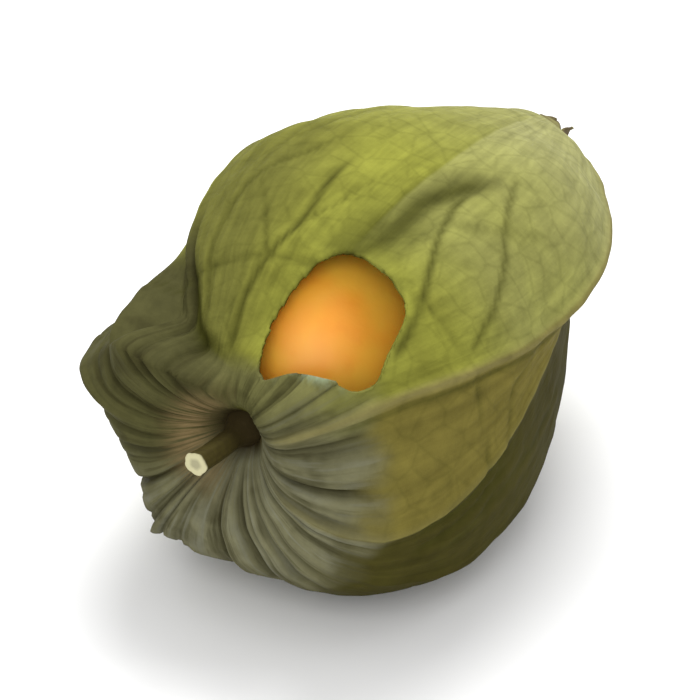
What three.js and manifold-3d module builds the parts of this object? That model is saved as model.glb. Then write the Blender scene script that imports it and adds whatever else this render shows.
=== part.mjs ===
// Physalis berry lying on its side, in its papery husk torn open beside the stalk.
//
// Frame: millimetres, +Z up. The fruit's axis runs along +Y, from the cut stalk at -Y
// to the husk's closed tip at +Y. The origin is at the middle of the bottom of the
// object's box, on the surface that the husk rests on.
// Until the last step everything is built about the fruit's own axis: y is measured
// from the rim of the pit where the stalk goes in, and angles about the axis are in
// degrees from +X towards +Z.

import * as THREE from 'three';
import { mergeVertices } from 'three/addons/utils/BufferGeometryUtils.js';
import Module from 'manifold-3d';

const wasm = await Module();
wasm.setup();

// ---- driving dimensions -------------------------------------------------------------

const HUSK_WALL = 0.5; // thicker than the real 0.2 mm husk, so that it stays a solid
const HUSK_FLOOR = -15.2; // the husk is pressed flat here, where it lies
const TIP_LIFT = 2.2; // how far the tip is bent up above the axis
const TIP_TRAVEL = 0.93; // the hollow ends here, as a share of the way to the tip
const HUSK_LENGTH = 44.3; // from the rim of the pit to the tip
const COLUMNS_PER_PANEL = 7;
const HUSK_ROWS = 30;

// Outline of the husk from the pit to the tip as [y, radius]: the full belly, which
// bulges back past the pit, and the steeper shoulder above the berry.
const BELLY = [
  [1.4, 0], [0.9, 1.3], [-0.7, 2.6], [-2.3, 4.8], [-2.9, 7.6], [-2, 10.8], [0.4, 13.4],
  [4.6, 15.2], [10, 16], [16, 15.9], [23, 14.8], [30, 12], [36.5, 8], [41, 3.8],
  [43.5, 1.2], [HUSK_LENGTH, 0],
];
const SHOULDER = [
  [1.4, 0], [0.9, 1.3], [-0.3, 2.8], [-0.4, 4.6], [0.5, 6.2], [2.6, 8], [5.4, 10.4],
  [8.4, 12.8], [12.5, 14.3], [17.5, 14.7], [23.5, 14], [30, 11.7], [36.5, 8], [41, 3.8],
  [43.5, 1.2], [HUSK_LENGTH, 0],
];
const SHOULDER_ANGLE = 90; // the shoulder is whole here
const SHOULDER_FULL = 8; // and this far towards the tear's side,
const SHOULDER_END = 51; // where it ends at this angle from its middle
// On the other side it ends in a fold: the fold's angle at rising radii, and its width.
const FOLD_RADIUS = [4, 5, 5.9, 7.4, 8.6, 9.8];
const FOLD_ANGLE = [88, 92, 102, 115, 124, 131];
const FOLD_WIDTH = 36;

// The ribs that fold the husk into panels, in order round the axis. turn is the rib's
// angle at the y values of TURN_AT, reach its height against the outline at those of
// REACH_AT, puff how round the panel after the rib is at the base and on the body (1 for
// an arc, 0 for a flat panel, less for a hollow one), and swell how far it stands out.
const TURN_AT = [0, 18, 36];
const REACH_AT = [-2, 5, 11, 19, 28, 37];
const SWELL_FADES = [26, 38]; // the swell dies away between these y values
const RIBS = [
  { turn: [28, 15, 15], reach: [0.9, 0.97, 0.99, 1, 1.07, 1], puff: [0.4, 0.8], swell: 0.05 },
  { turn: [72, 71, 69], reach: [1, 1, 0.88, 0.86, 0.84, 0.8], puff: [0.7, 0.9], swell: 0.04 },
  {
    turn: [146, 141, 140],
    reach: [0.95, 0.91, 0.94, 0.98, 0.9, 0.74],
    puff: [-0.2, -0.2],
    swell: 0,
  },
  {
    turn: [162, 164, 165],
    reach: [0.88, 0.78, 0.72, 0.92, 0.94, 0.88],
    puff: [0.2, 0.6],
    swell: 0,
  },
  {
    turn: [177, 187, 189],
    reach: [0.97, 0.98, 0.95, 0.95, 0.95, 0.95],
    puff: [-0.5, 0.1],
    swell: 0,
  },
  {
    turn: [236, 236, 236],
    reach: [0.98, 0.99, 0.99, 0.98, 0.98, 0.98],
    puff: [0, 0.5],
    swell: 0,
  },
  {
    turn: [277, 276, 274],
    reach: [0.92, 0.97, 1, 1, 0.98, 0.98],
    puff: [0.2, 0.5],
    swell: 0,
  },
  {
    turn: [320, 321, 318],
    reach: [1.02, 1.08, 1.1, 1.08, 0.99, 0.89],
    puff: [0.4, 0.4],
    swell: 0,
  },
  {
    turn: [338, 364, 364],
    reach: [0.98, 0.98, 0.97, 0.91, 0.82, 0.8],
    puff: [0.3, 0.3],
    swell: 0,
  },
];

// The tear: a window cut along one slanting direction, with its corners on the husk.
const TEAR_AZIMUTH = 31;
const TEAR_ELEVATION = 33;
const TEAR_CORNERS = [
  { angle: 70, radius: 5.7, y: 0 },
  { angle: 33, radius: 12, y: 0.5 },
  { angle: 45, radius: 14, y: 6.2 },
  { angle: 72, radius: 13.5, y: 7.5 },
  { angle: 80, radius: 7.5, y: 3.5 },
];
const TEAR_REACH = 24; // how far the cutter runs out past the axis

const BERRY_RADIUS = 9.4;
const BERRY_Y = 11.6;
const BERRY_DIMPLE = 0.7; // depth of the hollow where the stalk meets the berry
const BERRY_DIMPLE_RADIUS = 3.2;

const STALK_RADIUS = 0.85;
const STALK_COLLAR = 1.15; // radius at the end inside the husk
const STALK_OUT = -5.6; // y of the cut end
const STALK_RISE = 0.6; // the cut end is bent up by this much
const STALK_CLEARANCE = 0.3; // all round in the pit, and to the berry

// ---- small maths --------------------------------------------------------------------

const radians = THREE.MathUtils.degToRad;
const smooth = THREE.MathUtils.smoothstep;

/** Smooth curve through the values at the given stations, held at its ends. */
function follow(stations, values, at) {
  const last = stations.length - 1;
  const x = THREE.MathUtils.clamp(at, stations[0], stations[last]);
  let k = 0;
  while (k < last - 1 && x >= stations[k + 1]) k += 1;
  const slope = (i) => {
    const a = Math.max(i - 1, 0);
    const b = Math.min(i + 1, last);
    return (values[b] - values[a]) / (stations[b] - stations[a]);
  };
  const h = stations[k + 1] - stations[k];
  const s = (x - stations[k]) / h;
  const s2 = s * s;
  const s3 = s2 * s;
  return (2 * s3 - 3 * s2 + 1) * values[k] + (s3 - 2 * s2 + s) * h * slope(k)
    + (3 * s2 - 2 * s3) * values[k + 1] + (s3 - s2) * h * slope(k + 1);
}

/** An outline's stations, spaced by the root of each step's length and ending at 1. */
function stationsOf(outline) {
  const stations = [0];
  for (let i = 1; i < outline.length; i += 1) {
    const step = Math.hypot(outline[i][0] - outline[i - 1][0], outline[i][1] - outline[i - 1][1]);
    stations.push(stations[i - 1] + Math.sqrt(step));
  }
  return stations.map((s) => s / stations[stations.length - 1]);
}

/** A function from travel, 0 to 1, to the point [y, radius] on an outline. */
function outlineCurve(outline) {
  const stations = stationsOf(outline);
  const ys = outline.map((p) => p[0]);
  const rs = outline.map((p) => p[1]);
  return (travel) => [follow(stations, ys, travel), follow(stations, rs, travel)];
}

/** The same curve moved inwards, at right angles to itself, by a distance. */
function insetCurve(curve, distance) {
  return (travel) => {
    const [ya, ra] = curve(Math.max(travel - 0.004, 0));
    const [yb, rb] = curve(Math.min(travel + 0.004, 1));
    const [y, r] = curve(travel);
    const length = Math.hypot(yb - ya, rb - ra);
    const inward = [(rb - ra) / length, (ya - yb) / length];
    return [y + inward[0] * distance, Math.max(r + inward[1] * distance, 0)];
  };
}

const polar = (angle, radius, y) => new THREE.Vector3(
  radius * Math.cos(radians(angle)), y, radius * Math.sin(radians(angle)),
);

// ---- husk ---------------------------------------------------------------------------

/** Share of the shoulder outline at an angle and radius, 0 where all is belly. */
function shoulderShare(angle, radius) {
  const off = ((((angle - SHOULDER_ANGLE + 180) % 360) + 360) % 360) - 180;
  if (off < 0) return 1 - smooth(-off, SHOULDER_FULL, SHOULDER_END);
  const fold = follow(FOLD_RADIUS, FOLD_ANGLE, radius) - SHOULDER_ANGLE;
  return 1 - smooth(off, fold, fold + FOLD_WIDTH);
}

/** The husk's height against its outline, part of the way across a panel. */
function panelReach(panel, share, y) {
  const rib = RIBS[panel];
  const next = RIBS[(panel + 1) % RIBS.length];
  const span = panelSpan(panel, y);
  const a = follow(REACH_AT, rib.reach, y);
  const b = follow(REACH_AT, next.reach, y);
  const across = radians(span * share);
  const flat = (a * b * Math.sin(radians(span)))
    / (a * Math.sin(across) + b * Math.sin(radians(span) - across));
  const arc = a + (b - a) * smooth(share, 0, 1);
  const puff = THREE.MathUtils.lerp(rib.puff[0], rib.puff[1], smooth(y, 2, 14));
  const swell = rib.swell * smooth(y, 2, 14) * (1 - smooth(y, SWELL_FADES[0], SWELL_FADES[1]));
  return flat + puff * (arc - flat) + swell * 4 * share * (1 - share);
}

/** Angle between a rib and the next one at a y. */
function panelSpan(panel, y) {
  const next = RIBS[(panel + 1) % RIBS.length];
  const span = follow(TURN_AT, next.turn, y) - follow(TURN_AT, RIBS[panel].turn, y);
  return span < 0 ? span + 360 : span;
}

const foldCurve = outlineCurve(SHOULDER); // both skins fold at this curve's radii

/** A point of the husk: travel from pit to tip, and place round it counted in panels. */
function huskPoint(belly, shoulder, travel, place, floor) {
  const panel = Math.floor(place);
  const share = place - panel;
  const [bellyY, bellyR] = belly(travel);
  const [shoulderY, shoulderR] = shoulder(travel);
  let y = bellyY;
  let r = bellyR;
  let angle = 0;
  for (let pass = 0; pass < 4; pass += 1) {
    angle = follow(TURN_AT, RIBS[panel].turn, y) + share * panelSpan(panel, y);
    const weight = shoulderShare(angle, foldCurve(travel)[1]);
    y = THREE.MathUtils.lerp(bellyY, shoulderY, weight);
    r = THREE.MathUtils.lerp(bellyR, shoulderR, weight);
  }
  const reach = 1 + (panelReach(panel, share, y) - 1) * smooth(r, 0.5, 7);
  const point = polar(angle, r * reach, y);
  point.z += TIP_LIFT * Math.max(y / 44, 0) ** 3;
  point.z = Math.max(point.z, floor);
  return point;
}

/** One closed skin of the husk, drawn over a sphere's grid. */
function huskSkin(belly, shoulder, travelEnd, floor) {
  const columns = RIBS.length * COLUMNS_PER_PANEL;
  const skin = new THREE.SphereGeometry(1, columns, HUSK_ROWS);
  const position = skin.attributes.position;
  for (let row = 0; row <= HUSK_ROWS; row += 1) {
    const travel = travelEnd * (1 - row / HUSK_ROWS);
    for (let column = 0; column <= columns; column += 1) {
      const index = row * (columns + 1) + column;
      const place = ((columns - column) % columns) / COLUMNS_PER_PANEL;
      const point = huskPoint(belly, shoulder, travel, place, floor);
      position.setXYZ(index, point.x, point.y, point.z);
    }
    const first = row * (columns + 1);
    if (row === 0 || row === HUSK_ROWS) closePole(position, first, columns + 1);
  }
  return skin;
}

/** Gathers a row of points into their middle. */
function closePole(position, first, count) {
  const middle = new THREE.Vector3();
  for (let i = 0; i < count; i += 1) {
    middle.add(new THREE.Vector3().fromBufferAttribute(position, first + i));
  }
  middle.divideScalar(count);
  for (let i = 0; i < count; i += 1) {
    position.setXYZ(first + i, middle.x, middle.y, middle.z);
  }
}

/** The prism that cuts the tear, running out along one slanting direction. */
function tearCutter() {
  const azimuth = radians(TEAR_AZIMUTH);
  const elevation = radians(TEAR_ELEVATION);
  const out = new THREE.Vector3(
    Math.sin(azimuth) * Math.cos(elevation),
    -Math.cos(azimuth) * Math.cos(elevation),
    Math.sin(elevation),
  );
  const across = new THREE.Vector3(Math.cos(azimuth), Math.sin(azimuth), 0);
  const upward = new THREE.Vector3().crossVectors(out, across);
  const corners = TEAR_CORNERS.map((corner) => {
    const point = polar(corner.angle, corner.radius, corner.y);
    return new THREE.Vector2(point.dot(across), point.dot(upward));
  });
  const outline = new THREE.Shape(corners);
  const prism = new THREE.ExtrudeGeometry(outline, { depth: TEAR_REACH, bevelEnabled: false });
  return prism.applyMatrix4(new THREE.Matrix4().makeBasis(across, upward, out));
}

/** The hole in the pit that the stalk passes through. */
function stalkHole() {
  const radius = STALK_COLLAR + STALK_CLEARANCE;
  const hole = new THREE.CylinderGeometry(radius, radius, 6, 16);
  return hole.translate(0, 1, 0);
}

/** The husk: a thin shell, torn open, with a hole for the stalk. */
function makeHusk() {
  const belly = outlineCurve(BELLY);
  const shoulder = outlineCurve(SHOULDER);
  const outside = solidOf(huskSkin(belly, shoulder, 1, HUSK_FLOOR));
  const inside = solidOf(huskSkin(
    insetCurve(belly, HUSK_WALL),
    insetCurve(shoulder, HUSK_WALL),
    TIP_TRAVEL,
    HUSK_FLOOR + HUSK_WALL,
  ));
  const shell = outside.subtract(inside).subtract(solidOf(tearCutter()))
    .subtract(solidOf(stalkHole()));
  return geometryOf(shell);
}

// ---- berry and stalk ----------------------------------------------------------------

/** The berry: a ball with a shallow dimple where the stalk meets it. */
function makeBerry() {
  const ball = new THREE.SphereGeometry(BERRY_RADIUS, 32, 22);
  const position = ball.attributes.position;
  for (let i = 0; i < position.count; i += 1) {
    const point = new THREE.Vector3().fromBufferAttribute(position, i);
    const aside = Math.hypot(point.x, point.z);
    if (point.y < 0 && aside < BERRY_DIMPLE_RADIUS) {
      point.y += BERRY_DIMPLE * (1 - smooth(aside, 0, BERRY_DIMPLE_RADIUS));
    }
    position.setXYZ(i, point.x, point.y, point.z);
  }
  return ball.translate(0, BERRY_Y, 0);
}

/** The stalk: round, a little thicker inside the husk, bent up at its cut end. */
function makeStalk() {
  const start = BERRY_Y - BERRY_RADIUS + BERRY_DIMPLE - STALK_CLEARANCE;
  const length = start - STALK_OUT;
  const stalk = new THREE.CylinderGeometry(STALK_COLLAR, STALK_RADIUS, length, 14, 8);
  stalk.translate(0, start - length / 2, 0);
  const position = stalk.attributes.position;
  for (let i = 0; i < position.count; i += 1) {
    const y = position.getY(i);
    const bend = Math.max(-y / -STALK_OUT, 0) ** 2;
    position.setZ(i, position.getZ(i) + STALK_RISE * bend);
  }
  return stalk;
}

// ---- joining, cutting and assembly --------------------------------------------------

/** A closed geometry as a solid that can be cut. */
function solidOf(geometry) {
  const bare = geometry.clone();
  bare.deleteAttribute('normal');
  bare.deleteAttribute('uv');
  const merged = mergeVertices(bare, 1e-4);
  return new wasm.Manifold(new wasm.Mesh({
    numProp: 3,
    vertProperties: new Float32Array(merged.attributes.position.array),
    triVerts: new Uint32Array(merged.index.array),
  }));
}

/** A solid's surface as a geometry. */
function geometryOf(solid) {
  const mesh = solid.getMesh();
  const geometry = new THREE.BufferGeometry();
  geometry.setAttribute('position', new THREE.BufferAttribute(mesh.vertProperties, 3));
  geometry.setIndex(new THREE.BufferAttribute(mesh.triVerts, 1));
  geometry.computeVertexNormals();
  return geometry;
}

/** A named mesh with its own material. */
function namedMesh(name, geometry, color, roughness) {
  const material = new THREE.MeshStandardMaterial({ color, roughness, metalness: 0 });
  const mesh = new THREE.Mesh(geometry, material);
  mesh.name = name;
  return mesh;
}

const fruit = new THREE.Group();
fruit.add(
  namedMesh('husk', makeHusk(), 0x7f8438, 0.75),
  namedMesh('berry', makeBerry(), 0xe8922f, 0.35),
  namedMesh('stalk', makeStalk(), 0x9a9c62, 0.7),
);

const box = new THREE.Box3().setFromObject(fruit);
const middle = box.getCenter(new THREE.Vector3());
fruit.position.set(-middle.x, -middle.y, -box.min.z);

const physalis = new THREE.Group();
physalis.add(fruit);
physalis.updateMatrixWorld(true);

export default physalis;
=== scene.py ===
"""Physalis berry in its torn papery husk: the looks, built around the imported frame.

Lengths inside the classes are in millimetres about the fruit's own axis: y runs from the
rim of the pit where the stalk goes in to the husk's tip, and angles are in degrees from
+X towards +Z. FruitAxis moves them to metres in the row's frame.
"""

from __future__ import annotations

import logging
import math
from dataclasses import dataclass
from typing import Any, Mapping, Sequence, Union

import bmesh
import bpy
import numpy as np
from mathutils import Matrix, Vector, noise

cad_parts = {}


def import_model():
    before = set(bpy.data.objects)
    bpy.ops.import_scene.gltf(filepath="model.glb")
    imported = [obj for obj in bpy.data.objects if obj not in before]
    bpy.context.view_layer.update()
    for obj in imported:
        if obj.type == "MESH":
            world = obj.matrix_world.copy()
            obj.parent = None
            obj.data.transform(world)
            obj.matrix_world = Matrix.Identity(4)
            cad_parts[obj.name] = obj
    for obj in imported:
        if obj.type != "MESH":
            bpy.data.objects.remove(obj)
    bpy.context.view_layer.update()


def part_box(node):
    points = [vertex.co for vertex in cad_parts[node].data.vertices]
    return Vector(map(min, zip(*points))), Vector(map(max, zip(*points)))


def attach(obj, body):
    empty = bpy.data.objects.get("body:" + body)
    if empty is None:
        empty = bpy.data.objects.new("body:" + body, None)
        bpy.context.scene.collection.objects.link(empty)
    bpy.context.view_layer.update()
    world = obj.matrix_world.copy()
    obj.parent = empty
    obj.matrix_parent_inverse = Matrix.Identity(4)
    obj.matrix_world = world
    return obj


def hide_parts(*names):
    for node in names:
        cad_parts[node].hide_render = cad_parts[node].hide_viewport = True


LOG = logging.getLogger("physalis")
MM = 0.001
BODY = "root"


# ---- small maths ---------------------------------------------------------------------


def smooth(x: np.ndarray, low: float, high: float) -> np.ndarray:
    """Smooth step from 0 at low to 1 at high.

    Args:
        x: Where to read the step.
        low: Where it starts.
        high: Where it ends.

    Returns:
        Values from 0 to 1, of x's shape.
    """
    s = np.clip((np.asarray(x, float) - low) / (high - low), 0.0, 1.0)
    return s * s * (3.0 - 2.0 * s)


def follow(stations: Sequence[float], values: Sequence[float], at: np.ndarray) -> np.ndarray:
    """Smooth curve through values at the given stations, held at its ends.

    Args:
        stations: Rising places of the values.
        values: The value at each station.
        at: Where to read the curve.

    Returns:
        The curve's values, of at's shape.
    """
    xs, vs = np.asarray(stations, float), np.asarray(values, float)
    slope = np.empty_like(vs)
    slope[1:-1] = (vs[2:] - vs[:-2]) / (xs[2:] - xs[:-2])
    slope[0] = (vs[1] - vs[0]) / (xs[1] - xs[0])
    slope[-1] = (vs[-1] - vs[-2]) / (xs[-1] - xs[-2])
    x = np.clip(at, xs[0], xs[-1])
    k = np.clip(np.searchsorted(xs, x, side="right") - 1, 0, len(xs) - 2)
    h = xs[k + 1] - xs[k]
    s = (x - xs[k]) / h
    s2, s3 = s * s, s * s * s
    return (
        (2 * s3 - 3 * s2 + 1) * vs[k]
        + (s3 - 2 * s2 + s) * h * slope[k]
        + (3 * s2 - 2 * s3) * vs[k + 1]
        + (s3 - s2) * h * slope[k + 1]
    )


def ripple(points: np.ndarray, size: float, seed: float = 0.0) -> np.ndarray:
    """Soft noise in space.

    Args:
        points: Places, in millimetres, one row each.
        size: Length of one wave, in millimetres.
        seed: Moves the pattern, so that two patterns differ.

    Returns:
        About -1 to 1 for each place.
    """
    shift = Vector((seed, 2.3 * seed, -1.7 * seed))
    return np.array([noise.noise(Vector(p) / size + shift) for p in points]) * 1.6


# ---- shader maths --------------------------------------------------------------------

Number = Union[float, int]
Colour = tuple[float, float, float]


class Signal:
    """A socket's value, used in Python expressions that add the Math nodes they need."""

    def __init__(self, sheet: "NodeSheet", socket: bpy.types.NodeSocket) -> None:
        """Keeps the sheet and the socket."""
        self.sheet = sheet
        self.socket = socket

    def maths(self, operation: str, *others: Union["Signal", Number]) -> "Signal":
        """One Math node on this value and up to two more."""
        inputs = dict(enumerate((self, *others)))
        return self.sheet.node("ShaderNodeMath", {"operation": operation}, inputs)

    def __add__(self, other: Union["Signal", Number]) -> "Signal":
        """This plus other."""
        return self.maths("ADD", other)

    def __rsub__(self, other: Number) -> "Signal":
        """A number minus this."""
        node = {"operation": "SUBTRACT"}
        return self.sheet.node("ShaderNodeMath", node, {0: other, 1: self})

    def __mul__(self, other: Union["Signal", Number]) -> "Signal":
        """This times other."""
        return self.maths("MULTIPLY", other)

    __radd__ = __add__
    __rmul__ = __mul__

    def step(self, low: float, high: float) -> "Signal":
        """Smooth step from 0 at low to 1 at high, or falling where high is below low."""
        rising = {"From Min": min(low, high), "From Max": max(low, high)}
        settings = {"interpolation_type": "SMOOTHSTEP", "clamp": True}
        eased = self.sheet.node("ShaderNodeMapRange", settings, {"Value": self, **rising})
        return eased if low < high else 1.0 - eased


class NodeSheet:
    """One material's node tree, with one method that adds any node."""

    def __init__(self, name: str) -> None:
        """Starts an empty material.

        Args:
            name: The material's name.
        """
        self.material = bpy.data.materials.new(name)
        self.material.use_nodes = True
        self.tree = self.material.node_tree
        self.tree.nodes.clear()

    def node(
        self,
        kind: str,
        settings: Mapping[str, Any],
        inputs: Mapping[Union[str, int], Any],
        output: Union[str, int] = 0,
    ) -> Signal:
        """Adds a node.

        Args:
            kind: The node's type.
            settings: Its settings.
            inputs: Values or signals by socket name or number.
            output: The socket to give back.

        Returns:
            The chosen output.
        """
        node = self.tree.nodes.new(kind)
        for key, value in settings.items():
            setattr(node, key, value)
        for key, value in inputs.items():
            socket = node.inputs[key]
            if isinstance(value, Signal):
                self.tree.links.new(value.socket, socket)
            elif isinstance(value, tuple) and len(value) == 3 and socket.type == "RGBA":
                socket.default_value = (*value, 1.0)
            else:
                socket.default_value = value
        return Signal(self, node.outputs[output])

    def mix(self, share: Union[Signal, Number], a: Any, b: Any, blend: str = "MIX") -> Signal:
        """Mixes two colours by a share of the second."""
        settings = {"data_type": "RGBA", "blend_type": blend, "clamp_factor": True}
        return self.node("ShaderNodeMix", settings, {0: share, 6: a, 7: b}, 2)

    def layer(self, name: str) -> Signal:
        """A number painted on the piece's own points."""
        return self.node("ShaderNodeAttribute", {"attribute_name": name}, {}, "Fac")

    def place(self) -> Signal:
        """Object coordinates in millimetres."""
        metres = self.node("ShaderNodeTexCoord", {}, {}, "Object")
        settings = {"operation": "SCALE"}
        return self.node("ShaderNodeVectorMath", settings, {0: metres, "Scale": 1000.0})

    def grain(self, at: Signal, size: float, detail: float = 3.0, rough: float = 0.55) -> Signal:
        """Noise with waves of a size in millimetres, about 0.2 to 0.8."""
        inputs = {"Vector": at, "Scale": 1.0 / size, "Detail": detail, "Roughness": rough}
        return self.node("ShaderNodeTexNoise", {}, inputs, "Fac")

    def bump(self, height: Signal, depth: float) -> Signal:
        """A bumped normal, where a height of 1 is one depth in millimetres."""
        inputs = {"Height": height, "Distance": depth * MM, "Strength": 1.0}
        return self.node("ShaderNodeBump", {}, inputs, "Normal")

    def finish(self, shader: Signal) -> bpy.types.Material:
        """Ends the tree in a shader and gives the material."""
        end = self.tree.nodes.new("ShaderNodeOutputMaterial")
        self.tree.links.new(shader.socket, end.inputs["Surface"])
        return self.material


# ---- shared pieces -------------------------------------------------------------------


@dataclass(frozen=True)
class FruitAxis:
    """Where the fruit's own axis lies in the row's frame, in metres."""

    origin: Vector

    @classmethod
    def from_frame(cls, berry_radius: float, berry_y: float) -> "FruitAxis":
        """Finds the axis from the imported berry.

        Args:
            berry_radius: The berry's radius.
            berry_y: Its middle's place along the axis.

        Returns:
            The axis.
        """
        low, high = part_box("berry")
        y = high.y - (berry_radius + berry_y) * MM
        return cls(Vector(((low.x + high.x) / 2, y, (low.z + high.z) / 2)))

    def place(self, bm: bmesh.types.BMesh) -> None:
        """Moves a mesh from millimetres about the axis to the row's frame."""
        for vert in bm.verts:
            vert.co = vert.co * MM + self.origin


def read_points(bm: bmesh.types.BMesh) -> np.ndarray:
    """All of a mesh's points, one row each."""
    return np.array([tuple(v.co) for v in bm.verts])


def write_points(bm: bmesh.types.BMesh, points: np.ndarray) -> None:
    """Gives a mesh's points their places, in read_points' order."""
    for vert, point in zip(bm.verts, points):
        vert.co = point


def read_normals(bm: bmesh.types.BMesh) -> np.ndarray:
    """All of a mesh's point normals, one row each."""
    bm.normal_update()
    return np.array([tuple(v.normal) for v in bm.verts])


def paint(bm: bmesh.types.BMesh, name: str, values: np.ndarray) -> None:
    """Paints a number on each point of a mesh, for its material to read."""
    layer = bm.verts.layers.float.get(name) or bm.verts.layers.float.new(name)
    for vert, value in zip(bm.verts, values):
        vert[layer] = float(value)


def make_piece(
    bm: bmesh.types.BMesh, name: str, material: bpy.types.Material, axis: FruitAxis
) -> bpy.types.Object:
    """Turns a mesh in millimetres into a smooth-shaded piece in the row's frame.

    Args:
        bm: The mesh, which is used up.
        name: The piece's name.
        material: Its finish.
        axis: The fruit's axis.

    Returns:
        The piece.
    """
    axis.place(bm)
    for face in bm.faces:
        face.smooth = True
    mesh = bpy.data.meshes.new(name)
    bm.to_mesh(mesh)
    bm.free()
    mesh.materials.append(material)
    piece = bpy.data.objects.new(name, mesh)
    bpy.context.scene.collection.objects.link(piece)
    LOG.info("%s: %d faces", name, len(mesh.polygons))
    return piece


# ---- finishes ------------------------------------------------------------------------


@dataclass(frozen=True)
class HuskPaper:
    """Dry papery husk: yellow-green panels, olive and dark ones below, a dull pleated dome. The
    dark panels are partly painted shade; the dome has painted shade in its pleat valleys, painted
    highlights on its crests and painted light round the tear's foot.
    """

    fresh: Colour = (0.26, 0.265, 0.042)
    olive: Colour = (0.19, 0.19, 0.03)
    lobe: Colour = (0.15, 0.148, 0.032)
    pale: Colour = (0.34, 0.335, 0.135)
    umber: Colour = (0.175, 0.146, 0.032)
    # dark: the lower panels' darker tone, partly their own and partly painted shade
    dark: Colour = (0.05, 0.042, 0.01)
    moss: Colour = (0.088, 0.084, 0.03)
    ash: Colour = (0.19, 0.182, 0.1)
    # painted light round the tear's foot
    foot_light: Colour = (0.22, 0.215, 0.075)
    # silvery fibres on the grey side of the dome, and a painted highlight on its pleat crests
    silver_and_highlight: Colour = (0.27, 0.27, 0.19)
    # the darkest tone: painted shade in the dome's pleat valleys, and random dark blotches
    furrow_shade_and_blotch: Colour = (0.026, 0.023, 0.008)
    # dark brown in the pit, partly its own colour and partly painted shade in the recess
    pit: Colour = (0.03, 0.018, 0.007)
    rust: Colour = (0.23, 0.165, 0.075)
    # the veins' colour, also used for painted shade in the crease and painted shadows under the
    # fold and the rib
    vein_and_shade: Colour = (0.05, 0.05, 0.008)
    rib: Colour = (0.24, 0.21, 0.075)
    glow: Colour = (0.15, 0.14, 0.03)
    # painted highlight on the edge of the tear's foot
    rim_highlight: Colour = (0.3, 0.38, 0.26)
    roughness: float = 0.66
    gleam: float = 0.02
    through: float = 0.2

    def build(self) -> bpy.types.Material:
        """Makes the material."""
        s = NodeSheet("husk_paper")
        at = s.place()
        uv = s.node("ShaderNodeTexCoord", {}, {}, "UV")
        along = s.node("ShaderNodeVectorMath", {"operation": "MULTIPLY"}, {0: uv, 1: (110, 7, 1)})
        broad, fine = s.grain(at, 8.0, 2.0), s.grain(at, 1.3, 4.0)
        fibre = s.grain(along, 1.0, 3.0)
        colour = s.mix(broad.step(0.38, 0.6), self.olive, self.fresh)
        # the dark tint on the lower panels is partly painted shade
        tints = {"lobe": self.lobe, "pale": self.pale, "umber": self.umber, "dark": self.dark}
        for name, tint in tints.items():
            colour = s.mix(s.layer(name), colour, tint)
        colour = s.mix(self._net(s, at) * 0.14, colour, self.vein_and_shade)
        crest = s.mix(s.layer("ash"), self.moss, self.ash)
        # painted light on the dome round the tear's foot
        crest = s.mix(s.layer("foot_light"), crest, self.foot_light)
        crest = s.mix(s.grain(at, 2.6, 2.0).step(0.48, 0.7) * 0.5, crest, self.furrow_shade_and_blotch)
        crest = s.mix(s.layer("ash") * fibre.step(0.5, 0.34) * 0.5, crest, self.silver_and_highlight)
        # painted highlight on the dome's pleat crests
        crest_highlight = s.layer("crest") * s.grain(at, 3.0, 2.0).step(0.42, 0.62)
        crest = s.mix(crest_highlight * s.layer("ash") * 0.3, crest, self.silver_and_highlight)
        crest = s.mix(fibre.step(0.52, 0.68) * 0.5, crest, self.furrow_shade_and_blotch)
        colour = s.mix(s.layer("dome"), colour, crest)
        # painted shade in the dome's pleat valleys
        colour = s.mix(s.layer("pleat_shade"), colour, self.furrow_shade_and_blotch)
        colour = s.mix(s.layer("rust") * fibre.step(0.3, 0.6), colour, self.rust)
        # the pit's dark brown, partly painted shade in the recess
        colour = s.mix(s.layer("pit"), colour, self.pit)
        # veins, with painted shade along the crease and painted shadows under the left fold and
        # under the rib
        colour = s.mix(s.layer("vein_and_shade"), colour, self.vein_and_shade)
        colour = s.mix(s.layer("rib"), colour, self.rib)
        # painted highlight along the edge of the tear's foot
        colour = s.mix(s.layer("lip") * fine.step(0.42, 0.6) * 0.7, colour, self.rim_highlight)
        colour = s.mix(s.layer("strip") * 0.6, colour, self.fresh)
        speck = 0.3 + fine * 0.6 + fibre * 0.8
        grey = s.node("ShaderNodeCombineColor", {}, {0: speck, 1: speck, 2: speck}, 0)
        colour = s.mix(1.0, colour, grey, "MULTIPLY")
        relief = s.bump(fine + fibre * 0.8, 0.16)
        shader = s.node(
            "ShaderNodeBsdfPrincipled",
            {},
            {
                "Base Color": colour,
                "Roughness": self.roughness,
                "Specular IOR Level": self.gleam,
                "Normal": relief,
            },
        )
        light = s.node("ShaderNodeBsdfTranslucent", {}, {"Color": self.glow})
        both = s.node("ShaderNodeMixShader", {}, {0: self.through, 1: shader, 2: light})
        return s.finish(both)

    @staticmethod
    def _net(s: NodeSheet, at: Signal) -> Signal:
        """The faint net of tiny veins between the drawn ones."""
        wander = s.node("ShaderNodeTexNoise", {}, {"Vector": at, "Scale": 0.5}, "Color")
        bent = s.mix(0.35, at, wander, "ADD")
        net = s.node(
            "ShaderNodeTexVoronoi",
            {"feature": "DISTANCE_TO_EDGE"},
            {"Vector": bent, "Scale": 0.42},
            "Distance",
        )
        return net.step(0.09, 0.0)


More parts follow.
